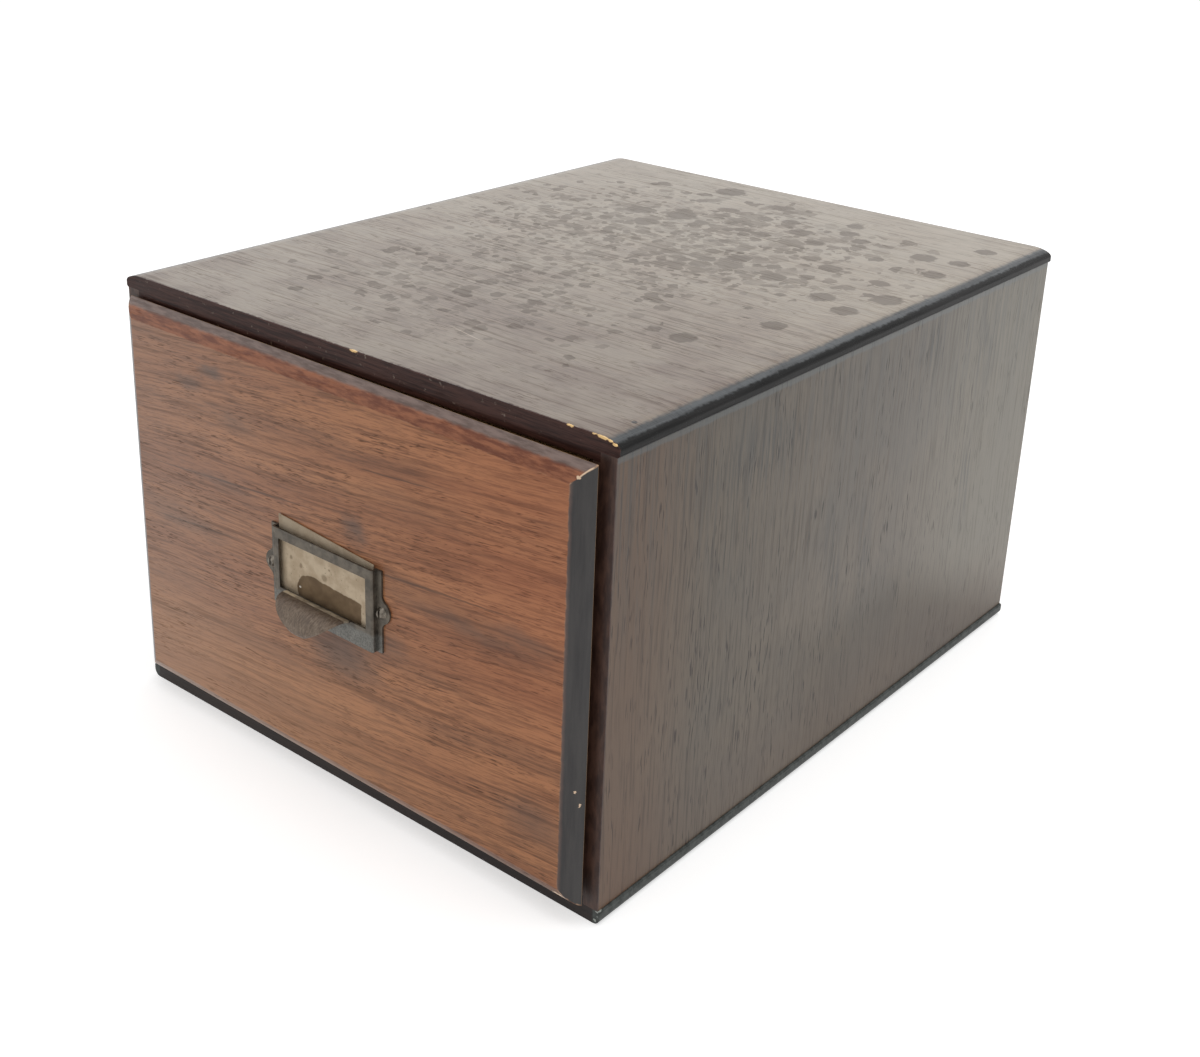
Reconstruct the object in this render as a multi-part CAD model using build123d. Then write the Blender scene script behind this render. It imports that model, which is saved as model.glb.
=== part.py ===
from build123d import *
import os
from math import cos, radians, sin, tan

os.makedirs("parts", exist_ok=True)

# Desk drawer for 8 x 5 inch index cards: a veneered case, a dovetailed drawer with a moulded
# lipped front, and a card follower that slides on a steel track and locks with a cam.
# Millimetres, +Z up. The origin is the middle of the case's underside and the front faces -Y.

# ---------------------------------------------------------------- driving sizes: case
case_width = 248.0            # over the rounded edges of the top and bottom boards
case_depth = 305.0
case_height = 181.0
board = 9.0                   # thickness of the top and bottom boards
side_board = 9.5              # thickness of the side boards
edge_reveal = 1.0             # how far the top and bottom stand proud of the sides
side_shoulder = 3.1           # inner part of a side board, which stops at its shoulder
side_rebate = 3.4             # how far the side's outer part runs up into top and bottom
crown_width = 9.0             # elliptical rounding along the top board's side edges
crown_height = 3.2
base_round = 3.0              # rounding along the bottom board's side edges
eased = 0.6                   # lightly broken edges
back_thickness = 6.0
back_lap = 4.0                # how far the back laps into its rebate all round

# ---------------------------------------------------------------- driving sizes: drawer
front_lap_side = 5.6          # how far the drawer front covers the case sides
front_lap_end = 1.0           # how far it covers the top and bottom boards
lip_thickness = 5.6           # part of the drawer front that stands outside the case
plug_thickness = 9.4          # part of the drawer front that enters the opening
moulding_width = 6.7          # round moulding on all four edges of the drawer front
moulding_crease = 15.0        # degrees: the angle at which the moulding leaves the flat face
side_clearance = 2.6          # between a drawer side and the case side
running_gap = 0.3             # between sliding faces
top_clearance = 1.2           # above the drawer front's plug
drawer_end_gap = 15.0         # from the end of the drawer to the back of the case
drawer_side_thickness = 6.35
drawer_back_thickness = 8.0
side_height_front = 150.0     # the sides drop from this to the lower height behind
side_height_rear = 112.0
sweep_start = 26.0            # the drop's S-curve, measured behind the front's inner face
sweep_length = 62.0
rail_bevel = 1.2              # bevelled top edges of sides and back
bottom_thickness = 3.2
bottom_raise = 6.0            # from the drawer's lower edge to its bottom panel
groove = 3.0                  # depth of the grooves that hold the bottom panel

# ---------------------------------------------------------------- dovetails
tail_web = 2.0                # wood left in front of the half-blind tails
tail_slope = 1 / 6
front_tails = 5
back_tails = 4
tail_share = 0.66             # share of each pitch that the tail's narrow root takes

# ---------------------------------------------------------------- driving sizes: label holder
sheet = 0.8
holder_offset = -1.4          # from the middle of the drawer front
holder_screw_height = 90.0    # height of its screws above the table
holder_height = 32.8
frame_width = 54.0            # raised card frame
frame_stand = 3.0             # how far the frame's face stands off the wood
plate_width = 59.2            # straight edges of the ears
screw_spacing = 59.2
ear_radius = 4.6
ear_blend = 3.2
window_width = 47.0
window_top = 12.3             # above the screws' line
window_bottom = -8.0
frame_round = 0.9
finger_width = 34.0           # the finger lip bent out of the window's lower edge
finger_offset = -1.9          # from the middle of the holder
finger_radius = 7.6
finger_start = -30.0          # degrees below level at the root
finger_end = 97.0             # degrees below level at the tip
card_width = 50.8
card_thickness = 0.4
card_left = 36.3              # height of the label's left and right edges
card_right = 32.8

# ---------------------------------------------------------------- driving sizes: follower
strip_width = 20.0
strip_thickness = 1.6
strip_raise = 2.6             # clear height under the strip
strip_start = 24.0            # behind the front's inner face
strip_margin = 20.0           # ahead of the drawer back
strip_foot = 13.0
strip_joggle = 4.0
shoe_length = 44.0
shoe_lip = 4.0
steel = 1.6
follower_lean = 12.0          # degrees
follower_gap = 152.0          # card space between the drawer front and the follower
follower_side_gap = 5.55
follower_height = 104.0
follower_board_thickness = 8.0
follower_corner = 16.0
follower_floor_gap = 1.0
upright_width = 64.0
upright_height = 52.0
upright_corner = 8.0
upright_hole_rows = (18.0, 42.0)
upright_hole_spread = 46.0
cheek_height = 27.0
cam_radius = 5.0
cam_throw = 1.2               # eccentricity of the cam's lobe
cam_width = 9.0
cam_window = 1.2              # room round the cam in the shoe's top
cam_place = 0.5               # share of the shoe's length
lever_length = 30.0
lever_thickness = 3.0
lever_rise = 24.0             # degrees above level
pad_drop = 4.5                # from the lever's top line to the underside of its thumb pad
thumb_width = 15.0
thumb_depth = 10.0
pin_radius = 1.5
pin_head = 0.8                # how far the peened heads spread and stand out
pin_fit = 0.05                # running fit of the cam on its pin

# ---------------------------------------------------------------- fasteners
hole_fit = 0.1                # radial room round a screw or pin
brad_radius = 1.1
brad_length = 18.0
brads_across = 2
brads_down = 2
screw_radius = 1.3
dome_radius = 2.4
dome_top_radius = 1.4
dome_height = 1.5
slot_width = 0.7
slot_depth = 0.6
holder_screw_length = 9.0
board_screw_length = 7.1
track_screw_length = 4.8

# ---------------------------------------------------------------- pose of the drawer at rest
drawer_ajar = 1.5             # gap behind the lip's left end
drawer_shift = 0.3            # sideways, to the left
drawer_skew = 0.5             # degrees: the right end stands further out

# ---------------------------------------------------------------- worked-out places
front_y = -case_depth / 2
back_y = case_depth / 2
side_outer = case_width / 2 - edge_reveal
side_inner = side_outer - side_board
shoulder_x = side_inner + side_shoulder
opening_low = board
opening_high = case_height - board
side_low = opening_low - side_rebate
side_high = opening_high + side_rebate

box_half = side_inner - side_clearance
box_inner = box_half - drawer_side_thickness
box_low = opening_low + running_gap
plug_high = opening_high - top_clearance
inner_front_y = front_y + plug_thickness
box_back_y = back_y - drawer_end_gap
inner_back_y = box_back_y - drawer_back_thickness
panel_low = box_low + bottom_raise
floor_z = panel_low + bottom_thickness
face_y = front_y - lip_thickness

strip_low = floor_z + strip_raise
strip_high = strip_low + strip_thickness
strip_front_y = inner_front_y + strip_start
strip_back_y = inner_back_y - strip_margin
shoe_high = strip_high + running_gap + steel
shoe_inner = strip_width / 2 + running_gap
shoe_outer = shoe_inner + steel
cam_z = strip_high + running_gap + cam_throw + cam_radius
follower_y = inner_front_y + follower_gap + follower_board_thickness
shoe_front_y = follower_y + strip_raise
cam_y = shoe_front_y + shoe_length * cam_place


# ---------------------------------------------------------------- helpers
def block(x_range, y_range, z_range):
    """A rectangular solid between three pairs of limits."""
    low = Vector(x_range[0], y_range[0], z_range[0])
    high = Vector(x_range[1], y_range[1], z_range[1])
    size = high - low
    return Pos(*((low + high) * 0.5)) * Box(size.X, size.Y, size.Z)


def rod(radius, start, end):
    """A round bar between two points."""
    start = Vector(*start)
    end = Vector(*end)
    return extrude(Plane(start, z_dir=end - start) * Circle(radius), (end - start).length)


def outline(points):
    """A flat face inside a closed chain of points."""
    return make_face(Polyline(*points, close=True))


def dome_screw(seat, into, length):
    """A slotted round-head screw: seat is the face under its head, into the way it is driven."""
    head_plane = Plane(Vector(*seat), z_dir=-Vector(*into))
    head = Pos(0, 0, dome_height / 2) * Cone(dome_radius, dome_top_radius, dome_height)
    slot = Pos(0, 0, dome_height) * Box(3 * dome_radius, slot_width, 2 * slot_depth)
    shank = extrude(Circle(screw_radius), -length)
    return head_plane * (head - slot + shank)


def dome_screw_hole(seat, into, length):
    """The room that the screw's shank needs."""
    end = Vector(*seat) + Vector(*into).normalized() * (length + hole_fit)
    return rod(screw_radius + hole_fit, seat, end)


def mirror_x(shape):
    """The same shape on the other side of the middle."""
    return mirror(shape, Plane.YZ)


# ---------------------------------------------------------------- case
def board_section(round_width, round_height):
    """Half of a case board's end: rounded side edge, and a rebate that takes the case side."""
    half = case_width / 2
    arc_centre = (half - round_width, board - round_height)
    with BuildSketch() as section:
        with BuildLine():
            face = Line((0, board), (half - round_width, board))
            EllipticalCenterArc(arc_centre, round_width, round_height, arc_size=90)
            Polyline(
                (half, board - round_height),
                (half, side_rebate + eased),
                (half - eased, side_rebate),
                (shoulder_x, side_rebate),
                (shoulder_x, 0),
                (0, 0),
                face @ 0,
            )
        make_face()
        mirror(about=Plane.YZ)
    return section.sketch


def back_recess():
    """The rebated space that the back panel fills."""
    return block(
        (-side_inner - back_lap, side_inner + back_lap),
        (back_y - back_thickness, back_y),
        (opening_low - back_lap, opening_high + back_lap),
    )


def brad_places():
    """Centres of the brads round the back panel."""
    lap = back_lap / 2
    for step in range(brads_across):
        x = (step - (brads_across - 1) / 2) * 2 * side_inner / brads_across
        yield x, opening_low - lap
        yield x, opening_high + lap
    for step in range(brads_down):
        z = opening_low + (step + 0.5) * (opening_high - opening_low) / brads_down
        yield -side_inner - lap, z
        yield side_inner + lap, z


def brads(fit=0.0):
    """Headless brads driven in flush from behind, or with fit the holes that they need."""
    tip = back_y - brad_length - fit
    return [rod(brad_radius + fit, (x, back_y, z), (x, tip, z)) for x, z in brad_places()]


def case_boards():
    """Top and bottom boards: one section, turned over for the bottom."""
    recess = back_recess()
    holes = brads(hole_fit)
    top_section = board_section(crown_width, crown_height)
    base_section = mirror(board_section(base_round, base_round), Plane.XZ)
    top = extrude(Plane.XZ * Pos(0, opening_high) * top_section, case_depth / 2, both=True)
    base = extrude(Plane.XZ * Pos(0, opening_low) * base_section, case_depth / 2, both=True)
    return top - recess - holes, base - recess - holes


def case_side(sign):
    """A side board: its outer part runs up and down into the rebates."""
    inner = block((side_inner, shoulder_x), (front_y, back_y), (opening_low, opening_high))
    outer = block((shoulder_x, side_outer), (front_y, back_y), (side_low, side_high))
    side = inner + outer
    if sign < 0:
        side = mirror_x(side)
    return side - back_recess() - brads(hole_fit)


def case_back():
    """The back panel, flush with the case's rear edges."""
    return back_recess() - brads(hole_fit)


# ---------------------------------------------------------------- drawer
def moulded_section(size):
    """A slab's section: round mouldings that meet the flat face at a crease, square behind."""
    half = size / 2
    crease = (half - moulding_width, lip_thickness)
    slope = radians(moulding_crease)
    with BuildSketch() as section:
        with BuildLine():
            Polyline((half, 0), (0, 0), (0, lip_thickness), crease)
            TangentArc(crease, (half, 0), tangent=(cos(slope), -sin(slope)))
        make_face()
        mirror(about=Plane.YZ)
    return section.sketch


def drawer_lip():
    """The part of the drawer front outside the case: two crossed sections make its mitred corners."""
    width = 2 * (side_inner + front_lap_side)
    height = opening_high - opening_low + 2 * front_lap_end
    middle = (opening_low + opening_high) / 2
    across = Plane((0, front_y, middle), x_dir=(1, 0, 0), z_dir=(0, 0, -1))
    upright = Plane((0, front_y, middle), x_dir=(0, 0, 1), z_dir=(1, 0, 0))
    slab = extrude(across * moulded_section(width), height / 2, both=True)
    return slab & extrude(upright * moulded_section(height), width / 2, both=True)


def tails(root_y, tip_y, count, height):
    """Dovetails on the right-hand drawer side, from their roots to their wider tips."""
    pitch = height / count
    root = pitch * tail_share / 2
    tip = root + abs(tip_y - root_y) * tail_slope
    group = []
    for step in range(count):
        z = box_low + (step + 0.5) * pitch
        points = [(root_y, z - root), (root_y, z + root), (tip_y, z + tip), (tip_y, z - tip)]
        tail = extrude(Plane.YZ * outline(points), drawer_side_thickness)
        group.append(Pos(box_inner, 0, 0) * tail)
    return group


def front_joint():
    """The half-blind tails that enter the drawer front on the right."""
    return tails(inner_front_y, front_y + tail_web, front_tails, side_height_front)


def back_joint():
    """The through tails that enter the drawer back on the right."""
    return tails(inner_back_y, box_back_y, back_tails, side_height_rear)


def bottom_blank():
    """The space that the drawer's bottom fills, in grooves all round."""
    return block(
        (-box_inner - groove, box_inner + groove),
        (inner_front_y - groove, inner_back_y + groove),
        (panel_low, floor_z),
    )


def drawer_bottom():
    """The bottom panel, pierced for the track's screws."""
    panel = bottom_blank()
    for seat in track_screw_seats():
        panel = panel - dome_screw_hole(seat, (0, 0, -1), track_screw_length)
    return panel


def drawer_side_blank():
    """The right-hand side without its tails: high in front, then a long S-curve down."""
    front_z = box_low + side_height_front
    rear_z = box_low + side_height_rear
    start = (inner_front_y + sweep_start, front_z)
    end = (start[0] + sweep_length, rear_z)
    middle = ((start[0] + end[0]) / 2, (front_z + rear_z) / 2)
    with BuildSketch(Plane.YZ) as section:
        with BuildLine():
            Line((inner_front_y, front_z), start)
            TangentArc(start, middle, tangent=(1, 0))
            TangentArc(end, middle, tangent=(-1, 0))
            Polyline(
                end,
                (inner_back_y, rear_z),
                (inner_back_y, box_low),
                (inner_front_y, box_low),
                (inner_front_y, front_z),
            )
        make_face()
    blank = Pos(box_inner, 0, 0) * extrude(section.sketch, drawer_side_thickness)
    rails = [edge for edge in blank.edges() if is_top_rail(edge)]
    return chamfer(rails, rail_bevel)


def is_top_rail(edge):
    """Whether an edge runs lengthwise along the top of a drawer side."""
    centre = edge.center()
    crosswise = abs((edge @ 1 - edge @ 0).X) > drawer_side_thickness / 2
    upright = abs((edge @ 1 - edge @ 0).Y) < drawer_side_thickness / 2
    return centre.Z > box_low + side_height_rear - rail_bevel and not crosswise and not upright


def drawer_side(sign):
    """A drawer side with tails at both ends and the bottom's groove."""
    side = drawer_side_blank() + front_joint() + back_joint() - bottom_blank()
    return side if sign > 0 else mirror_x(side)


def holder_screw_seats():
    """Where the label holder's two screws seat on its ears."""
    for sign in (-1, 1):
        yield (holder_offset + sign * screw_spacing / 2, face_y - sheet, holder_screw_height)


def drawer_front():
    """The moulded lip and the plug behind it, with sockets for the sides' tails."""
    plug = block((-box_half, box_half), (front_y, inner_front_y), (box_low, plug_high))
    front = drawer_lip() + plug - bottom_blank()
    for tail in front_joint():
        front = front - tail - mirror_x(tail)
    for seat in holder_screw_seats():
        front = front - dome_screw_hole(seat, (0, 1, 0), holder_screw_length)
    return front


def drawer_back():
    """The back board, between and flush with the sides' ends."""
    back = block((-box_half, box_half), (inner_back_y, box_back_y), (box_low, box_low + side_height_rear))
    top_edges = back.edges().group_by(Axis.Z)[-1].filter_by(Axis.X)
    back = chamfer(top_edges, rail_bevel) - bottom_blank()
    for tail in back_joint():
        back = back - tail - mirror_x(tail)
    return back


# ---------------------------------------------------------------- label holder
def holder_plane():
    """On the drawer front's face: X across, Y up, Z towards the person."""
    return Plane((holder_offset, face_y, holder_screw_height), x_dir=(1, 0, 0), z_dir=(0, -1, 0))


def ear_plate():
    """The flat plate whose ears swell round the screws."""
    ears = [Pos(sign * (screw_spacing / 2 - eased), 0) * Circle(ear_radius) for sign in (-1, 1)]
    plate = Rectangle(plate_width, holder_height) + ears
    hollows = [v for v in plate.vertices() if abs(v.Y) < ear_radius + eased]
    return extrude(fillet(hollows, ear_blend), sheet)


def finger_lip():
    """A sheet curled out and down from the window's lower edge, cut to a half-ellipse."""
    root_z = frame_stand - sheet / 2
    turn = finger_end - finger_start
    chord = 2 * finger_radius * sin(radians(turn / 2))
    chord_angle = finger_start + turn / 2
    centre = (
        window_bottom - sheet / 2 - finger_radius * cos(radians(finger_start)),
        root_z - finger_radius * sin(radians(finger_start)),
    )
    with BuildSketch(Plane.YZ) as section:
        with BuildLine():
            outer = CenterArc(centre, finger_radius + sheet / 2, finger_start, turn)
            inner = CenterArc(centre, finger_radius - sheet / 2, finger_start, turn)
            Line(outer @ 0, inner @ 0)
            Line(outer @ 1, inner @ 1)
        make_face()
    curl = extrude(section.sketch, finger_width / 2, both=True)
    cut_plane = Plane(
        (0, window_bottom - sheet / 2, root_z),
        x_dir=(1, 0, 0),
        z_dir=(0, cos(radians(chord_angle)), sin(radians(chord_angle))),
    )
    cutter = extrude(cut_plane * Ellipse(finger_width / 2, chord), finger_radius, both=True)
    return Pos(finger_offset, 0, 0) * (curl & cutter)


def label_holder():
    """One stamping: ears, a raised frame open at the top, and the finger lip."""
    top = holder_height / 2
    half = frame_width / 2
    frame = block((-half, half), (-top, top), (0, frame_stand))
    upright_edges = frame.edges().filter_by(Axis.Y).group_by(Axis.Z)[-1]
    frame = fillet(upright_edges, frame_round)
    pocket = block((sheet - half, half - sheet), (sheet - top, top), (0, frame_stand - sheet))
    half_window = window_width / 2
    window = block((-half_window, half_window), (window_bottom, window_top), (0, frame_stand))
    stamping = ear_plate() + frame - pocket - window + finger_lip()
    stamping = holder_plane() * stamping
    for seat in holder_screw_seats():
        stamping = stamping - dome_screw_hole(seat, (0, 1, 0), holder_screw_length)
    return stamping


def holder_screws():
    """The two round-head screws in the ears."""
    return [dome_screw(seat, (0, 1, 0), holder_screw_length) for seat in holder_screw_seats()]


def label_card():
    """The paper label, cut a little out of square, standing in the holder's pocket."""
    half = card_width / 2
    low = sheet + running_gap - holder_height / 2
    points = [(-half, low), (half, low), (half, low + card_right), (-half, low + card_left)]
    return holder_plane() * Pos(0, 0, running_gap) * extrude(outline(points), card_thickness)


# ---------------------------------------------------------------- card follower
def track_screw_seats():
    """Where the track's two screws seat on its feet."""
    top = floor_z + strip_thickness
    for y in (strip_front_y + strip_foot / 2, strip_back_y - strip_foot / 2):
        yield (0, y, top)


def follower_track():
    """A steel strip joggled down to a screwed foot at each end."""
    rise = strip_low - floor_z
    front = [
        (strip_front_y, 0),
        (strip_front_y + strip_foot, 0),
        (strip_front_y + strip_foot + strip_joggle, rise),
    ]
    back = [(strip_front_y + strip_back_y - y, z) for y, z in reversed(front)]
    under = front + back
    over = [(y, z + strip_thickness) for y, z in reversed(under)]
    points = [(y, z + floor_z) for y, z in under + over]
    strip = extrude(Plane.YZ * outline(points), strip_width / 2, both=True)
    for seat in track_screw_seats():
        strip = strip - dome_screw_hole(seat, (0, 0, -1), track_screw_length)
    return strip


def track_screws():
    """The screws that hold the track to the drawer's bottom."""
    return [dome_screw(seat, (0, 0, -1), track_screw_length) for seat in track_screw_seats()]


def lean_plane():
    """The follower board's rear face: X across, Y up the board, Z forwards."""
    lean = radians(follower_lean)
    return Plane((0, follower_y, floor_z), x_dir=(1, 0, 0), z_dir=(0, -cos(lean), sin(lean)))


def board_screw_seats():
    """Where the follower's screws seat on the back of the bracket's upright."""
    plane = lean_plane()
    for row in upright_hole_rows:
        for sign in (-1, 1):
            yield plane.from_local_coords(Vector(sign * upright_hole_spread / 2, row, -steel))


def follower_bracket():
    """Folded steel: a shoe that wraps the strip, cheeks for the cam, and a leaning upright."""
    shoe_back_y = shoe_front_y + shoe_length
    shoe_low = strip_low - running_gap - steel
    run = (shoe_front_y, shoe_back_y)
    shoe = block((-shoe_outer, shoe_outer), run, (shoe_low, shoe_high))
    shoe = shoe - block((-shoe_inner, shoe_inner), run, (strip_low - running_gap, strip_high + running_gap))
    throat = shoe_inner - shoe_lip
    shoe = shoe - block((-throat, throat), run, (shoe_low, strip_low))
    cam_room = cam_radius + cam_throw + cam_window
    cam_run = (cam_y - cam_room, cam_y + cam_room)
    half_slot = (cam_width + cam_window) / 2
    shoe = shoe - block((-half_slot, half_slot), cam_run, (strip_high, shoe_high))
    lean = radians(follower_lean)
    cheek_top = floor_z + cheek_height
    points = [
        (shoe_front_y, shoe_high - steel),
        (shoe_back_y, shoe_high - steel),
        (cam_y + cam_room, cam_z + cam_radius),
        (follower_y + cheek_height * tan(lean) + steel / 2, cheek_top),
    ]
    cheek = extrude(Plane.YZ * outline(points), steel)
    shoe = shoe + [Pos(shoe_inner, 0, 0) * cheek, Pos(-shoe_outer, 0, 0) * cheek]
    low = (shoe_high - steel - floor_z + steel * sin(lean)) / cos(lean)
    upright = Pos(0, (low + upright_height) / 2) * Rectangle(upright_width, upright_height - low)
    upright = fillet(upright.vertices().group_by(Axis.Y)[-1], upright_corner)
    upright = lean_plane() * extrude(upright, -steel)
    web_run = (follower_y, shoe_front_y + steel)
    web = block((-shoe_outer, shoe_outer), web_run, (shoe_high - steel, shoe_high))
    ahead = lean_plane() * Pos(0, 0, shoe_length / 2) * Box(upright_width, upright_height, shoe_length)
    bracket = (shoe + web - ahead) + upright
    bracket = bracket - rod(pin_radius, (-shoe_outer, cam_y, cam_z), (shoe_outer, cam_y, cam_z))
    into = lean_plane().z_dir
    for seat in board_screw_seats():
        bracket = bracket - dome_screw_hole(seat, into, board_screw_length)
    return bracket


def follower_board():
    """The leaning board that holds the cards up, notched over the track."""
    low = follower_floor_gap
    width = 2 * (box_inner - follower_side_gap)
    sketch = Pos(0, (low + follower_height) / 2) * Rectangle(width, follower_height - low)
    sketch = fillet(sketch.vertices().group_by(Axis.Y)[-1], follower_corner)
    notch_top = shoe_high - floor_z + running_gap
    notch = Rectangle(2 * (shoe_outer + running_gap), 2 * notch_top)
    face = lean_plane() * extrude(sketch - notch, follower_board_thickness)
    into = lean_plane().z_dir
    for seat in board_screw_seats():
        face = face - dome_screw_hole(seat, into, board_screw_length)
    return face


def follower_screws():
    """The screws through the bracket into the board."""
    into = lean_plane().z_dir
    return [dome_screw(seat, into, board_screw_length) for seat in board_screw_seats()]


def cam_pin():
    """The cam's pivot, peened over outside both cheeks."""
    pin = rod(pin_radius, (-shoe_outer, cam_y, cam_z), (shoe_outer, cam_y, cam_z))
    head_end = shoe_outer + pin_head
    head = rod(pin_radius + pin_head, (shoe_outer, cam_y, cam_z), (head_end, cam_y, cam_z))
    return pin + head + mirror_x(head)


def cam_lever():
    """An eccentric lobe under the pin, and a lever that ends in a thumb pad."""
    lobe = Pos(0, -cam_throw) * Circle(cam_radius)
    rise = radians(lever_rise)
    arm = Pos(lever_length / 2, cam_radius - lever_thickness) * Rectangle(lever_length, lever_thickness)
    arm = Rot(0, 0, lever_rise) * arm
    side_plane = Plane((0, cam_y, cam_z), x_dir=(0, 1, 0), z_dir=(1, 0, 0))
    lever = extrude(side_plane * (lobe + arm), cam_width / 2, both=True)
    pad_level = cam_radius - pad_drop
    pad_middle = Vector(
        lever_length * cos(rise) - pad_level * sin(rise),
        lever_length * sin(rise) + pad_level * cos(rise),
        0,
    )
    pad_plane = Plane(
        side_plane.from_local_coords(pad_middle),
        x_dir=(1, 0, 0),
        z_dir=(0, -sin(rise), cos(rise)),
    )
    lever = lever + extrude(pad_plane * SlotOverall(thumb_width, thumb_depth), lever_thickness)
    return lever - rod(pin_radius + pin_fit, (-cam_width, cam_y, cam_z), (cam_width, cam_y, cam_z))


# ---------------------------------------------------------------- rest pose and export
def at_rest(shape):
    """Drawer pieces stand a little ajar and skewed, turned about the lip's left end."""
    hinge = Pos(-side_inner - front_lap_side, front_y, 0)
    turn = hinge * Rot(0, 0, -drawer_skew) * hinge.inverse()
    return Pos(-drawer_shift, -drawer_ajar, 0) * turn * shape


def as_modelled(shape):
    """Case pieces stay where they are modelled."""
    return shape


def write(name, pieces, pose=as_modelled):
    """One STEP file per node; several solids form one group."""
    if isinstance(pieces, list):
        pieces = Compound(children=[pose(piece) for piece in pieces])
    else:
        pieces = pose(pieces)
    export_step(pieces, f"parts/{name}.step")


case_top, case_bottom = case_boards()
write("case_top", case_top)
write("case_bottom", case_bottom)
write("case_side_left", case_side(-1))
write("case_side_right", case_side(1))
write("case_back", case_back())
write("back_brads", brads())

write("drawer_front", drawer_front(), at_rest)
write("drawer_side_left", drawer_side(-1), at_rest)
write("drawer_side_right", drawer_side(1), at_rest)
write("drawer_back", drawer_back(), at_rest)
write("drawer_bottom", drawer_bottom(), at_rest)
write("label_holder", label_holder(), at_rest)
write("holder_screws", holder_screws(), at_rest)
write("label_card", label_card(), at_rest)

write("follower_track", follower_track(), at_rest)
write("track_screws", track_screws(), at_rest)
write("follower_bracket", follower_bracket(), at_rest)
write("follower_board", follower_board(), at_rest)
write("follower_screws", follower_screws(), at_rest)
write("cam_pin", cam_pin(), at_rest)
write("cam_lever", cam_lever(), at_rest)
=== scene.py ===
from math import cos, radians, sin

import bpy
from mathutils import Matrix, Vector

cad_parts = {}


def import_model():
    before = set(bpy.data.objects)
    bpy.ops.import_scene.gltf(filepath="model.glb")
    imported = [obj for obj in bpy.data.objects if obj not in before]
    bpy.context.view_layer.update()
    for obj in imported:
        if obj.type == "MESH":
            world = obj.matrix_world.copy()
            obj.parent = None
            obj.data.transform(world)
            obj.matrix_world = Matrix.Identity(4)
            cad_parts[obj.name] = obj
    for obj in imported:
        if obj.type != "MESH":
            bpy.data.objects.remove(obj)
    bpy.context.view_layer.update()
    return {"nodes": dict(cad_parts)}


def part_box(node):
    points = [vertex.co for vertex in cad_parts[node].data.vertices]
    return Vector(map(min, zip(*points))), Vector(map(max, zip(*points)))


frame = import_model()

# An old desk drawer for index cards: dark stained veneer, worn and water-spotted, with a patinated
# label holder. Metres, in the frame's own axes: the drawer front faces -Y. Every shape is the frame's;
# this script gives the nodes their materials, and sets the stage, the light and the camera.

X, Y, Z = 0, 1, 2

# ---------------------------------------------------------------- camera, light and stage
CAMERA_PLACE = (0.4027, -0.5154, 0.3711)
CAMERA_YAW = 38.77                  # degrees to the right of the drawer front
CAMERA_PITCH = 21.65                # degrees above level
CAMERA_ROLL = 2.07
CAMERA_SENSOR = 36.0
CAMERA_LENS = 48.9
CAMERA_SHIFT = (0.0095, -0.0946)
CAMERA_CLIP = (0.01, 30.0)
WORLD_LIGHT = 0.6                   # the surround's strength as a light; it is seen at 1
LAMP_PLACE = (0.2, 0.1, 1.8)
LAMP_TARGET = (0.0, 0.0, 0.1)
LAMP_SIZE = 2.2
LAMP_POWER = 18
FLOOR_HALF = 6.0
FLOOR_LIT = (0.9, 0.895, 0.885, 1.0)        # as the object is lit by it
FLOOR_PALE = (0.70, 0.695, 0.69, 1.0)       # as it is seen, with the glow added
FLOOR_GLOW = 0.55

# ---------------------------------------------------------------- places taken from the frame
CASE_LOW, CASE_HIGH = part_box("case_top")
LIP_LOW, LIP_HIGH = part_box("drawer_front")
FRONT_Y = CASE_LOW.y
BACK_Y = CASE_HIGH.y
TOP_Z = CASE_HIGH.z
HALF_WIDTH = CASE_HIGH.x

# The drawer's own frame, in which it is shut and square. It stands ajar and askew at rest.
DRAWER_SKEW = radians(0.5)
LIP_RIGHT = 0.1191
LIP_LEFT = -LIP_RIGHT
LIP_MIDDLE = (LIP_LOW.z + LIP_HIGH.z) / 2
LIP_HALF_HEIGHT = (LIP_HIGH.z - LIP_LOW.z) / 2
LIP_FOOT = LIP_MIDDLE - LIP_HALF_HEIGHT
LIP_CORNER = (LIP_LEFT - 0.0003, FRONT_Y - 0.0015, 0.0)     # the lip's left rear corner at rest
FACE_Y = FRONT_Y - 0.0056
MOULDING = 0.0067                   # from the lip's outline to the crease where the flat face begins
HOLDER_Z = 0.090
LIP_ROLL_Y = FACE_Y - 0.00345       # the finger lip rolls out of the holder in front of this
CREST_Y = FACE_Y - 0.0064           # the highest line of the finger lip
HOLDER_FOOT_Z = HOLDER_Z - 0.0096   # the holder is greyer below this
CARD_PROUD_Z = HOLDER_Z + 0.01325   # the label stands out of its holder above this
SHEEN_LINE_Y = FRONT_Y - 0.0031          # the moulding's up-facing part behind this is painted greyer, as a sheen
SIDE_STRIP_Z = TOP_Z - 0.0080       # the side boards have a paler strip above this

# ---------------------------------------------------------------- how far the edge tones reach inwards
FRONT_SKIN = 0.0005
REAR_SKIN = 0.0003
# UNDER_SKIN is how far the painted shade on the top board's underside reaches.
UNDER_SKIN = 0.0002
TOP_SLATE_BREADTH = 0.0050
TOP_BLACK_BREADTH = 0.0019
BASE_FLANK_BREADTH = 0.0031
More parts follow.
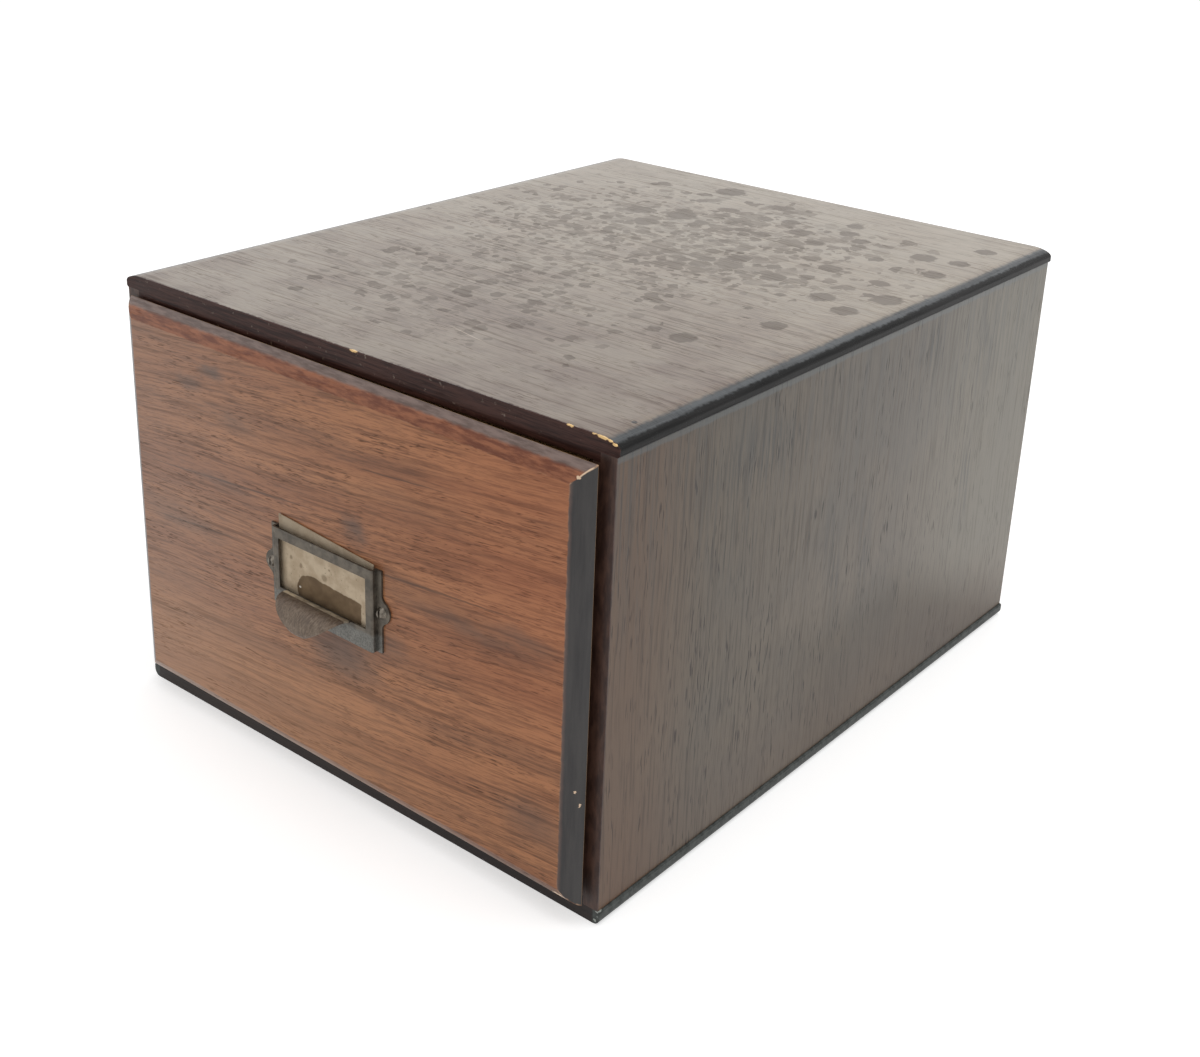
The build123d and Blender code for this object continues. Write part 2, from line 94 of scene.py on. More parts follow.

# ---------------------------------------------------------------- marks of age, with a painted shadow and painted highlights among them
# Strength, middle and radii of each.
FACE_STAINS_AND_SHADOW = [
    (0.75, (-0.064, FACE_Y, 0.1568), (0.009, 0.02, 0.0042)),
    (0.55, (-0.078, FACE_Y, 0.1495), (0.012, 0.02, 0.0050)),
    (0.35, (-0.050, FACE_Y, 0.1390), (0.016, 0.02, 0.0060)),
    (0.75, (0.006, FACE_Y, 0.0640), (0.028, 0.02, 0.0150)),
    (0.45, (0.030, FACE_Y, 0.0780), (0.014, 0.02, 0.0080)),
    (0.40, (0.070, FACE_Y, 0.0990), (0.045, 0.02, 0.0050)),
    (0.40, (0.095, FACE_Y, 0.1050), (0.028, 0.02, 0.0060)),
    (0.65, (0.014, FACE_Y, 0.1180), (0.010, 0.02, 0.0090)),
    (0.35, (-0.085, FACE_Y, 0.0880), (0.035, 0.02, 0.0070)),
    (0.35, (-0.060, FACE_Y, 0.1120), (0.030, 0.02, 0.0040)),
    # The last is no stain but a painted shadow, low on the right of the face.
    (0.50, (0.100, FACE_Y, 0.0360), (0.022, 0.02, 0.0140)),
]
# Middle and radii of each; those of the lines are in the axes of the leaning grain.
FACE_LINES = [
    ((-0.045, FACE_Y, 0.1188), (0.070, 0.02, 0.0005)),
    ((0.060, FACE_Y, 0.1020), (0.060, 0.02, 0.0006)),
    ((-0.070, FACE_Y, 0.0960), (0.040, 0.02, 0.0005)),
    ((0.050, FACE_Y, 0.1400), (0.030, 0.02, 0.0004)),
]
FRONT_CHIPS = [
    ((0.1148, FACE_Y + 0.0006, 0.1689), (0.0009, 0.004, 0.0007)),
    ((0.1169, FACE_Y + 0.002, 0.0546), (0.0004, 0.004, 0.0007)),
    ((0.1180, FACE_Y + 0.003, 0.0492), (0.0003, 0.004, 0.0008)),
    ((0.1120, FACE_Y + 0.001, 0.0112), (0.0035, 0.006, 0.0012)),
]
# A painted highlight along the right mitre, near the top corner.
MITRE_HIGHLIGHT = ((0.1168, FACE_Y, 0.1704), (0.0032, 0.01, 0.0032))
TOP_CHIPS_AND_HIGHLIGHT = [
    ((0.006, FRONT_Y, TOP_Z), (0.0022, 0.0008, 0.0008)),
    ((0.104, FRONT_Y, TOP_Z), (0.0016, 0.0007, 0.0006)),
    ((0.114, FRONT_Y, TOP_Z), (0.0012, 0.0005, 0.0004)),
    # The last three follow the crown's front arris at the right end: a pale chip, with a painted highlight
    # along it.
    ((0.1175, FRONT_Y, TOP_Z - 0.0003), (0.0030, 0.0007, 0.0008)),
    ((0.1205, FRONT_Y, TOP_Z - 0.0007), (0.0018, 0.0005, 0.0005)),
    ((0.1222, FRONT_Y, TOP_Z - 0.0014), (0.0013, 0.0005, 0.0006)),
]
TOP_NIB = ((0.1169, -0.1365, TOP_Z), (0.0012, 0.0012, 0.002))
BASE_CHIPS = [
    ((0.1228, FRONT_Y + 0.0006, 0.0056), (0.0010, 0.0020, 0.0006)),
    ((0.1230, FRONT_Y + 0.0012, 0.0034), (0.0010, 0.0014, 0.0005)),
    ((0.1220, FRONT_Y, 0.0016), (0.0009, 0.0010, 0.0007)),
]
# Cell size of a field of water spots, and the middle and radii of its reach.
SPOT_FIELDS = [
    (0.0046, ((-0.010, 0.035, TOP_Z), (0.120, 0.115, 1.0))),
    (0.0068, ((-0.010, 0.045, TOP_Z), (0.130, 0.110, 1.0))),
    (0.0092, ((0.000, 0.060, TOP_Z), (0.125, 0.100, 1.0))),
    (0.0125, ((0.020, 0.065, TOP_Z), (0.110, 0.080, 1.0))),
    (0.0075, ((-0.010, -0.075, TOP_Z), (0.110, 0.070, 1.0))),
]
# The larger water spots: x, y and radius.
BLOTS = [
    (0.000, 0.125, 0.0048), (0.042, 0.123, 0.0046), (0.017, 0.107, 0.0050), (-0.035, 0.134, 0.0085),
    (-0.068, 0.124, 0.0040), (0.047, 0.109, 0.0052), (0.057, 0.102, 0.0050), (0.090, 0.099, 0.0064),
    (0.105, 0.127, 0.0050), (0.105, 0.102, 0.0050), (0.105, 0.079, 0.0060), (0.109, 0.034, 0.0074),
    (0.104, 0.010, 0.0064), (0.095, -0.024, 0.0056), (0.079, -0.060, 0.0060), (0.030, 0.095, 0.0060),
    (0.044, 0.085, 0.0052), (0.009, 0.080, 0.0044), (0.077, 0.082, 0.0038), (0.089, 0.019, 0.0064),
    (-0.045, 0.074, 0.0075), (-0.025, 0.080, 0.0085), (-0.030, 0.060, 0.0070), (0.060, 0.028, 0.0060),
]
# Turn about Z in degrees, then middle and radii in the turned axes.
SCRATCHES = [
    (-86.0, (-0.0020, 0.0620, TOP_Z), (0.012, 0.0003, 1.0)),
    (12.0, (0.0450, -0.1050, TOP_Z), (0.014, 0.0003, 1.0)),
    (-30.0, (0.0900, -0.0500, TOP_Z), (0.010, 0.0003, 1.0)),
]
# Turn about X in degrees, then middle and radii in the turned axes.
SIDE_SMEARS = [
    (-4.0, (0.0, 0.112, 0.150), (1.0, 0.018, 0.045)),
    (-12.0, (0.0, 0.006, 0.088), (1.0, 0.010, 0.050)),
    (-10.0, (0.0, 0.026, 0.086), (1.0, 0.010, 0.045)),
    (-3.0, (0.0, 0.060, 0.158), (1.0, 0.024, 0.020)),
    (-3.0, (0.0, -0.060, 0.156), (1.0, 0.050, 0.018)),
    (-6.0, (0.0, 0.104, 0.080), (1.0, 0.008, 0.040)),
]
LABEL_STAIN = ((-0.0100, FACE_Y, HOLDER_Z - 0.0066), (0.0078, 0.01, 0.0077))    # its round left end
STAIN_TOP = HOLDER_Z + 0.0011
STAIN_RIGHT = 0.0173
STAIN_FALL = 0.062                  # how steeply its upper edge falls to the right
LABEL_SPOTS = [
    ((-0.0206, FACE_Y, 0.0952), (0.0012, 0.01, 0.0012)),
    ((-0.0151, FACE_Y, 0.0934), (0.0013, 0.01, 0.0013)),
    ((-0.0024, FACE_Y, 0.0928), (0.0020, 0.01, 0.0020)),
    ((0.0005, FACE_Y, 0.0971), (0.0007, 0.01, 0.0007)),
]
LABEL_GLINT = ((-0.0159, FACE_Y, HOLDER_Z - 0.0055), (0.0007, 0.01, 0.0005))

# ---------------------------------------------------------------- tones, as sRGB hex
# Each wood: dark, middle, light, pore.
FACE_TONES = ("6a4229", "9c6643", "b37b53", "2b1a11")
TOP_TONES = ("4d3e30", "7f6e5c", "938370", "2c221a")
SIDE_TONES = ("3e342a", "5f5446", "6b5f50", "211a15")
BASE_TONES = ("130d0a", "221815", "332722", "0a0706")
BACK_TONES = ("5a3f2b", "7c5a3f", "8f6c4e", "38261a")
INNER_TONES = ("7a5636", "a07a52", "b8946a", "4d3420")
# Pairs between which a noise goes.
MOULDING_WARM = ("683a28", "935e43")
# The next pair is a painted sheen on the up-facing part of the top moulding.
MOULDING_PAINTED_SHEEN = ("5d4d47", "7d6b64")
MOULDING_SLATE = ("201d1e", "343130")
TOP_SLATE = ("25282b", "45494c")
TOP_BLACK = ("080808", "1e1d1d")
TOP_END = ("291613", "482e28")
SIDE_END = ("2f1e19", "4c352c")
BASE_FLANK = ("2c302e", "474b49")
HOLDER_DARK = ("4b463f", "6c655b")
HOLDER_GREY = ("5b5a56", "74736e")
HOLDER_BROWN = ("5d5046", "837567")
PAPER = ("b9a58b", "d0bea4")
PAPER_BROWN = ("5e4a34", "776045")
SCREW_STEEL = ("4d473f", "8d857a")
DULL_STEEL = ("6b6864", "8f8c87")

# ---------------------------------------------------------------- sizes of wood's features: length, breadth
BAND_SIZE = (0.16, 0.013)
STREAK_SIZE = (0.045, 0.0016)
FIBRE_SIZE = (0.012, 0.0006)
PORE_SIZE = (0.0050, 0.00045)
PORE_CROWDS = (0.03, 0.006)
SWAY_LENGTH = 0.12
SWAY = 0.004                        # the most it sways to either side
FACE_LEAN = radians(5.5)            # the front's grain rises to the right
WOOD_RELIEF = 0.00012


# ---------------------------------------------------------------- node graphs
class Graph:
    """Short calls for building one material's nodes."""

    def __init__(self, name):
        self.material = bpy.data.materials.new(name)
        self.material.use_nodes = True
        self.tree = self.material.node_tree
        self.tree.nodes.clear()
        self.output = self.node("ShaderNodeOutputMaterial")
        self.place = self.node("ShaderNodeTexCoord").outputs["Object"]

    def node(self, kind, **settings):
        """A new node with these settings."""
        made = self.tree.nodes.new(kind)
        for name, value in settings.items():
            setattr(made, name, value)
        return made

    def feed(self, socket, value):
        """Links an output to a socket, or sets the socket's own value."""
        if isinstance(value, bpy.types.NodeSocket):
            self.tree.links.new(value, socket)
        else:
            socket.default_value = value

    def math(self, operation, a, b=0.0):
        """One operation on one or two numbers."""
        made = self.node("ShaderNodeMath", operation=operation)
        self.feed(made.inputs[0], a)
        self.feed(made.inputs[1], b)
        return made.outputs[0]

    def less(self, a, b):
        """The first number less the second."""
        return self.math("SUBTRACT", a, b)

    def size(self, value):
        """The number without its sign."""
        return self.math("ABSOLUTE", value)

    def product(self, first, *others):
        """The first number times all the others."""
        for value in others:
            first = self.math("MULTIPLY", first, value)
        return first

    def union(self, first, *others):
        """The strongest of several masks."""
        for value in others:
            first = self.math("MAXIMUM", first, value)
        return first

    def mapped(self, scale=(1, 1, 1), shift=(0, 0, 0), turn=(0, 0, 0), place=None):
        """A place, the object's own unless one is given, scaled, then turned, then shifted."""
        made = self.node("ShaderNodeMapping")
        self.feed(made.inputs["Vector"], place or self.place)
        made.inputs["Scale"].default_value = scale
        made.inputs["Location"].default_value = shift
        made.inputs["Rotation"].default_value = turn
        return made.outputs[0]

    def noise(self, place, scale, detail, rough=0.5):
        """Soft noise around 0.5."""
        made = self.node("ShaderNodeTexNoise")
        self.feed(made.inputs["Vector"], place)
        self.feed(made.inputs["Scale"], scale)
        self.feed(made.inputs["Detail"], detail)
        self.feed(made.inputs["Roughness"], rough)
        return made.outputs[0]

    def span(self, value, low, high, out_low=0.0, out_high=1.0, smooth=True):
        """Value between low and high becomes out_low to out_high."""
        made = self.node("ShaderNodeMapRange", interpolation_type="SMOOTHSTEP" if smooth else "LINEAR")
        self.feed(made.inputs["Value"], value)
        self.feed(made.inputs["From Min"], low)
        self.feed(made.inputs["From Max"], high)
        self.feed(made.inputs["To Min"], out_low)
        self.feed(made.inputs["To Max"], out_high)
        return made.outputs[0]

    def above(self, value, level, soft, most=1.0):
        """0 below a level and most above it, with a soft border of that half width."""
        return self.span(value, level - soft, level + soft, 0.0, most)

    def below(self, value, level, soft):
        """1 below a level and 0 above it, with a soft border of that half width."""
        return self.span(value, level + soft, level - soft)

    def fade(self, mask, rest):
        """1 outside a mask, and rest inside it."""
        return self.span(mask, 0.0, 1.0, 1.0, rest)

    def mix(self, share, a, b):
        """Between two colours."""
        made = self.node("ShaderNodeMix", data_type="RGBA")
        self.feed(made.inputs[0], share)
        self.feed(made.inputs[6], a)
        self.feed(made.inputs[7], b)
        return made.outputs[2]

    def tint(self, color, tone, share, *masks):
        """The colour, with this share of a tone over it where the masks are 1."""
        return self.mix(self.product(share, *masks), color, rgb(tone))

    def pair(self, noise, tones, low=0.35, high=0.65):
        """A noise as a mottle of two tones."""
        return self.mix(self.span(noise, low, high), rgb(tones[0]), rgb(tones[1]))

    def blend(self, share, a, b):
        """Between two numbers."""
        made = self.node("ShaderNodeMix", data_type="FLOAT")
        self.feed(made.inputs[0], share)
        self.feed(made.inputs[2], a)
        self.feed(made.inputs[3], b)
        return made.outputs[0]

    def vector(self, operation, *values):
        """Vector maths; a length comes back as a number."""
        made = self.node("ShaderNodeVectorMath", operation=operation)
        for socket, value in zip(made.inputs, values):
            self.feed(socket, value)
        return made.outputs["Value"] if operation == "LENGTH" else made.outputs[0]

    def axes(self, place=None):
        """The x, y and z of a place, the object's own unless one is given."""
        made = self.node("ShaderNodeSeparateXYZ")
        self.feed(made.inputs[0], place or self.place)
        return made.outputs

    def joined(self, x, y, z):
        """A place from its x, y and z."""
        made = self.node("ShaderNodeCombineXYZ")
        for socket, value in zip(made.inputs, (x, y, z)):
            self.feed(socket, value)
        return made.outputs[0]

    def bump(self, height, strength, distance):
        """A normal that follows a height, of which 1 stands for this distance."""
        made = self.node("ShaderNodeBump")
        self.feed(made.inputs["Height"], height)
        made.inputs["Strength"].default_value = strength
        made.inputs["Distance"].default_value = distance
        return made.outputs[0]

    def surface(self, color, roughness, normal, **more):
        """The finished material; more holds the shader's other sockets, with _ for each space."""
        shader = self.node("ShaderNodeBsdfPrincipled")
        self.feed(shader.inputs["Base Color"], color)
        self.feed(shader.inputs["Roughness"], roughness)
        self.feed(shader.inputs["Normal"], normal)
        for name, value in more.items():
            self.feed(shader.inputs[name.replace("_", " ")], value)
        self.tree.links.new(shader.outputs[0], self.output.inputs[0])
        return self.material


def rgb(text):
    """A colour written as sRGB hex, in linear values with alpha."""
    parts = [int(text[i:i + 2], 16) / 255 for i in (0, 2, 4)]
    return tuple(p / 12.92 if p <= 0.04045 else ((p + 0.055) / 1.055) ** 2.4 for p in parts) + (1.0,)


# ---------------------------------------------------------------- masks
def ragged(g, place, size, depth):
    """The place, shaken by a fine noise, so that masks made from it have ragged edges."""
    shake = g.node("ShaderNodeTexNoise")
    g.feed(shake.inputs["Vector"], place)
    shake.inputs["Scale"].default_value = 1 / size
    shake.inputs["Detail"].default_value = 3.0
    centred = g.vector("MULTIPLY_ADD", shake.outputs["Color"], (2 * depth,) * 3, (-depth,) * 3)
    return g.vector("ADD", place, centred)


def patch(g, place, middle, radii, soft):
    """1 inside an ellipsoid, falling to 0 at its surface over this share of its radii."""
    scale = tuple(1 / r for r in radii)
    shift = tuple(-m / r for m, r in zip(middle, radii))
    length = g.vector("LENGTH", g.mapped(scale=scale, shift=shift, place=place))
    return g.span(length, 1.0, 1.0 - soft)


def patches(g, place, marks, soft):
    """One mask for a list of marks, each a middle and its radii."""
    return g.union(*[patch(g, place, middle, radii, soft) for middle, radii in marks])


def water_spots(g, place, size, reach):
    """Round dark spots of random size, thick in the middle of their reach and rare at its rim."""
    cells = g.node("ShaderNodeTexVoronoi", voronoi_dimensions="2D")
    g.feed(cells.inputs["Vector"], place)
    cells.inputs["Scale"].default_value = 1 / size
    chance = g.node("ShaderNodeSeparateColor")
    g.feed(chance.inputs[0], cells.outputs["Color"])
    radius = g.span(chance.outputs[0], 0.0, 1.0, 0.18, 0.52, smooth=False)
    inside = g.span(g.less(cells.outputs["Distance"], radius), 0.04, -0.06)
    middle, radii = reach
    density = patch(g, g.place, middle, radii, 0.8)
    kept = g.math("LESS_THAN", chance.outputs[1], g.product(density, 0.85))
    strength = g.span(chance.outputs[2], 0.0, 1.0, 0.3, 0.9, smooth=False)
    return g.product(inside, kept, strength)


def drawer_place(g):
    """Places in the drawer's own frame, with its ajar and skewed pose taken out."""
    turn = Matrix.Rotation(DRAWER_SKEW, 3, "Z")
    shift = Vector((LIP_LEFT, FRONT_Y, 0.0)) - turn @ Vector(LIP_CORNER)
    return g.mapped(shift=tuple(shift), turn=(0.0, 0.0, DRAWER_SKEW))


# ---------------------------------------------------------------- wood
def grain(g, place, axis, size, detail=2.0, rough=0.5):
    """Noise drawn out along an axis: its features are about a length long and a breadth wide."""
    length, breadth = size
    scale = [1 / breadth] * 3
    scale[axis] = 1 / length
    return g.noise(g.mapped(scale=tuple(scale), place=place), 1.0, detail, rough)


def swaying(g, place, axis, across):
    """The place, moved slowly from side to side along the grain."""
    drift = g.less(grain(g, place, axis, (SWAY_LENGTH, 0.4 * SWAY_LENGTH), 1.0), 0.5)
    offset = [0.0, 0.0, 0.0]
    offset[across] = g.product(drift, 2 * SWAY)
    return g.vector("ADD", place, g.joined(*offset))


def timber(g, place, axis, across, tones, bands, streaks, pores, coarse=1.0):
    """Colour, relief and dullness of varnished wood: bands, streaks, fine fibres and dark pores."""
    dark, middle, light, pore = tones
    flow = swaying(g, place, axis, across)
    broad = grain(g, flow, axis, BAND_SIZE, 2.0)
    lines = grain(g, flow, axis, STREAK_SIZE, 3.0, 0.65)
    fibres = grain(g, flow, axis, FIBRE_SIZE, 3.0, 0.7)
    specks = grain(g, flow, axis, (PORE_SIZE[0] * coarse, PORE_SIZE[1] * coarse), 1.0)
    crowd = grain(g, flow, axis, PORE_CROWDS, 2.0)
    color = g.mix(g.span(broad, 0.34, 0.62, 0.0, bands), rgb(middle), rgb(light))
    color = g.tint(color, dark, g.span(lines, 0.46, 0.7, 0.0, streaks))
    color = g.tint(color, dark, g.span(fibres, 0.46, 0.64, 0.0, streaks))
    color = g.tint(color, light, g.span(fibres, 0.46, 0.32, 0.0, 0.7 * streaks))
    dashes = g.product(g.span(specks, 0.56, 0.7), g.span(crowd, 0.4, 0.65, 0.25, 1.0))
    color = g.tint(color, pore, dashes, pores)
    height = g.less(g.product(fibres, 0.4), dashes)
    dull = g.union(dashes, g.span(lines, 0.48, 0.66, 0.0, 0.55))
    return color, height, dull


def inner_color(g, place, axis, across):
    """Bare inner wood, darkened by age."""
    return timber(g, place, axis, across, INNER_TONES, 0.5, 0.4, 0.5)[0]


def inner_material(name, axis, across):
    """Bare wood with a faint relief along its grain."""
    g = Graph(name)
    relief = g.bump(grain(g, g.place, axis, (0.02, 0.0006)), 0.3, 0.0001)
    return g.surface(inner_color(g, g.place, axis, across), roughness=0.62, normal=relief, IOR=1.4)


# ---------------------------------------------------------------- the drawer front
def face_color(g, place):
    """The flat face: warm veneer, redder to the right and greyer to the left, the grey a painted sheen; with
    stain marks, a painted shadow low on the right, and fine cracks.
    """
    x, _, z = g.axes(place)
    leaning = g.mapped(turn=(0.0, FACE_LEAN, 0.0), place=place)
    color, height, dull = timber(g, leaning, X, Z, FACE_TONES, 0.8, 0.6, 0.55)
    color = g.tint(color, "a85c3c", g.span(x, 0.0, 0.115, 0.0, 0.3), g.span(z, 0.02, 0.12))
    smoke = grain(g, leaning, X, (0.1, 0.014), 3.0, 0.6)
    color = g.tint(color, "4e362a", g.span(smoke, 0.5, 0.7, 0.0, 0.3))
    stained = ragged(g, place, 0.010, 0.004)
    # One of these marks is a painted shadow, low on the right of the face.
    stains_and_shadow = [
        g.product(patch(g, stained, middle, radii, 0.9), depth) for depth, middle, radii in FACE_STAINS_AND_SHADOW]
    color = g.tint(color, "50433d", g.union(*stains_and_shadow))
    cracks = patches(g, ragged(g, leaning, 0.006, 0.0003), FACE_LINES, 0.6)
    color = g.tint(color, "2e1d15", cracks, 0.6)
    # Painted sheen: greyer towards the left.
    color = g.tint(color, "80685a", g.span(x, 0.02, -0.12, 0.0, 0.35))
    color = g.tint(color, "ba875c", g.span(x, 0.07, -0.02, 0.0, 0.4), g.span(z, 0.075, 0.03))
    color = g.tint(color, "3a2418", dull, 0.32)
    return color, height, dull


def moulding_masks(g, place):
    """How far past the lip's outline a place is across and up, and where the moulding and its sides are."""
    x, _, z = g.axes(place)
    x_past = g.less(g.size(x), LIP_RIGHT)
    z_past = g.less(g.size(g.less(z, LIP_MIDDLE)), LIP_HALF_HEIGHT)
    moulding = g.above(g.union(x_past, z_past), -MOULDING, 0.0003)
    is_side = g.above(g.less(x_past, z_past), 0.0, 0.0002)
    return x_past, z_past, moulding, is_side


def moulding_color(g, place, edge_place, x_past, is_side, face):
    """Red-brown above with a painted grey sheen on what faces up, slate down the sides, and the face's own
    wood below.
    """
    _, ry, rz = g.axes(edge_place)
    bar = grain(g, place, X, (0.010, 0.0018), 4.0, 0.65)
    # Painted sheen: what faces up behind this line is greyer.
    facing_up = g.above(ry, SHEEN_LINE_Y, 0.0005)
    top_bar = g.mix(facing_up, g.pair(bar, MOULDING_WARM), g.pair(bar, MOULDING_PAINTED_SHEEN))
    low_bar = g.tint(face, "3c2a20", 0.35)
    bars = g.mix(g.above(g.less(rz, LIP_MIDDLE), 0.0, 0.02), low_bar, top_bar)
    slate = g.pair(grain(g, place, Z, (0.03, 0.0030), 4.0, 0.6), MOULDING_SLATE, 0.3, 0.7)
    slate = g.tint(slate, "6a5148", g.span(x_past, -0.0052, -0.0066, 0.0, 0.6))
    return g.mix(is_side, bars, slate)


def front_wear_and_highlight(g, place, color, x_past, z_past, moulding):
    """Pale rubbed arrises along the mitres, the crease and the foot, chips down to bare wood, and a painted
    highlight on the right mitre near the top.
    """
    _, _, z = g.axes(place)
    mitre = g.product(g.span(g.size(g.less(x_past, z_past)), 0.0006, 0.0001), moulding)
    from_crease = g.size(g.math("ADD", g.union(x_past, z_past), MOULDING))
    crease = g.product(g.span(from_crease, 0.0004, 0.0001), 0.2)
    foot = g.span(z, LIP_FOOT + 0.0009, LIP_FOOT + 0.0002)
    broken = g.span(g.noise(place, 260.0, 3.0), 0.42, 0.62)
    color = g.tint(color, "c39a78", g.union(mitre, crease, foot), broken, 0.8)
    chips = patches(g, ragged(g, place, 0.0012, 0.0007), FRONT_CHIPS, 0.3)
    # A painted highlight along the right mitre near the top, tinted with the chips.
    mitre_highlight = g.product(mitre, patch(g, place, *MITRE_HIGHLIGHT, 0.3))
    return g.tint(color, "e2c4a6", g.union(chips, mitre_highlight))


def front_material():
    """The veneered and moulded drawer front, with bare wood behind its lip."""
    g = Graph("drawer_front_wood")
    place = drawer_place(g)
    x, y, _ = g.axes(place)
    face, height, dull = face_color(g, place)
    edge_place = ragged(g, place, 0.004, 0.0005)
    x_past, z_past, moulding, is_side = moulding_masks(g, edge_place)
    bars = moulding_color(g, place, edge_place, x_past, is_side, face)
    color = g.mix(moulding, face, bars)
    color = front_wear_and_highlight(g, place, color, x_past, z_past, moulding)
    behind = g.above(y, FRONT_Y - 0.00005, 0.00003)
    color = g.mix(behind, color, inner_color(g, place, X, Z))
    roughness = g.blend(behind, g.span(height, -0.8, 0.4, 0.55, 0.42), 0.6)
    shine = g.product(g.span(x, 0.11, -0.11, 0.12, 0.5), g.fade(dull, 0.2))
    shine = g.blend(g.product(moulding, is_side), shine, 0.5)
    shine = g.product(shine, g.fade(behind, 0.0))
    relief = g.bump(height, 0.35, WOOD_RELIEF)
    return g.surface(color, roughness, relief, IOR=1.3, Coat_Weight=shine, Coat_Roughness=0.3)


# ---------------------------------------------------------------- the case
def top_veneer(g, place):
    """Grey-brown veneer, darker in front, paler grey to the right rear as a painted sheen, and clouded all
    over.
    """
    x, y, _ = g.axes(place)
    color, height, dull = timber(g, place, X, Y, TOP_TONES, 0.5, 0.85, 0.8)
    color = g.tint(color, "533d33", g.span(y, 0.06, -0.15, 0.0, 0.6), g.span(x, -0.12, 0.10, 0.5, 1.0))
    # Painted sheen: paler grey towards the right rear.
    color = g.tint(color, "a89d8c", g.span(y, -0.06, 0.06, 0.0, 0.3), g.span(x, -0.14, 0.02, 0.6, 1.0))
    clouds = g.span(g.noise(place, 28.0, 4.0, 0.6), 0.36, 0.64)
    return g.tint(color, "8c806c", clouds, 0.35), height, dull, clouds


def top_marks(g, place, color):
    """Water spots, scratches and a dark nib; gives the spots as well."""
    shaken = ragged(g, place, 0.0030, 0.0027)
    fields = g.union(*[water_spots(g, shaken, size, reach) for size, reach in SPOT_FIELDS])
    blots = patches(g, shaken, [((px, py, TOP_Z), (r, r, 1.0)) for px, py, r in BLOTS], 0.25)
    spots = g.union(fields, g.product(blots, 0.9))
    color = g.tint(color, "45382c", spots, 0.75)
    scratches = g.union(*[
        patch(g, ragged(g, g.mapped(turn=(0, 0, radians(angle))), 0.01, 0.0002), middle, radii, 0.6)
        for angle, middle, radii in SCRATCHES])
    color = g.tint(color, "c4b3a2", scratches, 0.6)
    color = g.tint(color, "1c1512", patch(g, place, *TOP_NIB, 0.4))
    return color, spots


def top_edges(g, place, color):
    """Slate and black round the long edges, dark ends, painted shade on the underside, and chips in the front
    arris with a painted highlight along its right end.
    """
    _, y, z = g.axes(place)
    edge_x, edge_y, _ = g.axes(ragged(g, place, 0.0022, 0.0011))
    out = g.less(g.size(edge_x), HALF_WIDTH)
    slate = g.above(out, -TOP_SLATE_BREADTH, 0.0012)
    black = g.above(out, -TOP_BLACK_BREADTH, 0.0007)
    streak = grain(g, place, Y, (0.04, 0.002), 3.0, 0.6)
    color = g.mix(slate, color, g.pair(streak, TOP_SLATE))
    color = g.mix(black, color, g.pair(streak, TOP_BLACK))
    front = g.below(edge_y, FRONT_Y + FRONT_SKIN, 0.0002)
    rear = g.above(y, BACK_Y - REAR_SKIN, 0.0001)
    # Painted shade: the underside is darkened.
    under = g.below(z, CASE_LOW.z + UNDER_SKIN, 0.0001)
    end_wood = g.pair(grain(g, place, X, (0.02, 0.001), 3.0, 0.7), TOP_END)
    color = g.mix(front, color, end_wood)
    color = g.mix(rear, color, end_wood)
    color = g.tint(color, "2a1c14", under)
    # Chips, and a painted highlight along the crown's front arris at the right end.
    color = g.tint(color, "f0c98e", patches(g, ragged(g, place, 0.0012, 0.0006), TOP_CHIPS_AND_HIGHLIGHT, 0.3))
    unpolished = g.fade(g.union(front, rear, under), 0.08)
    return color, g.product(unpolished, g.fade(slate, 0.6), g.fade(black, 0.0))


def top_material():
    """The case's top board."""
    g = Graph("case_top_wood")
    color, height, dull, clouds = top_veneer(g, g.place)
    color, spots = top_marks(g, g.place, color)
    color, edge_shine = top_edges(g, g.place, color)
    roughness = g.span(spots, 0.0, 1.0, 0.36, 0.5)
    cloudy = g.span(clouds, 0.0, 1.0, 0.85, 1.0)
    shine = g.product(g.fade(dull, 0.15), g.fade(spots, 0.75), cloudy, edge_shine)
    relief = g.bump(height, 0.3, WOOD_RELIEF)
    return g.surface(color, roughness, relief, IOR=1.22, Coat_Weight=shine, Coat_Roughness=0.32)


def side_marks(g, place, color):
    """Dark ribs high up, leaning dark smears, and a paler strip under the top board."""
    _, _, z = g.axes(place)
    ribs = g.span(grain(g, place, Z, (0.05, 0.0012), 4.0, 0.7), 0.42, 0.68)
    color = g.tint(color, "3d4040", ribs, g.span(z, 0.06, 0.17), 0.45)
    smears = []
    for lean, middle, radii in SIDE_SMEARS:
        turned = g.mapped(shift=tuple(-m for m in middle), turn=(radians(lean), 0, 0))
        smears.append(patch(g, turned, (0, 0, 0), radii, 0.9))
    hairs = g.span(grain(g, place, Z, (0.03, 0.0016), 3.0, 0.65), 0.44, 0.62)
    color = g.tint(color, "2e2d2b", g.union(*smears), hairs, 0.7)
    shaken_z = g.axes(ragged(g, place, 0.01, 0.0008))[Z]
    return g.tint(color, "5c6365", g.above(shaken_z, SIDE_STRIP_Z, 0.0006, 0.55))


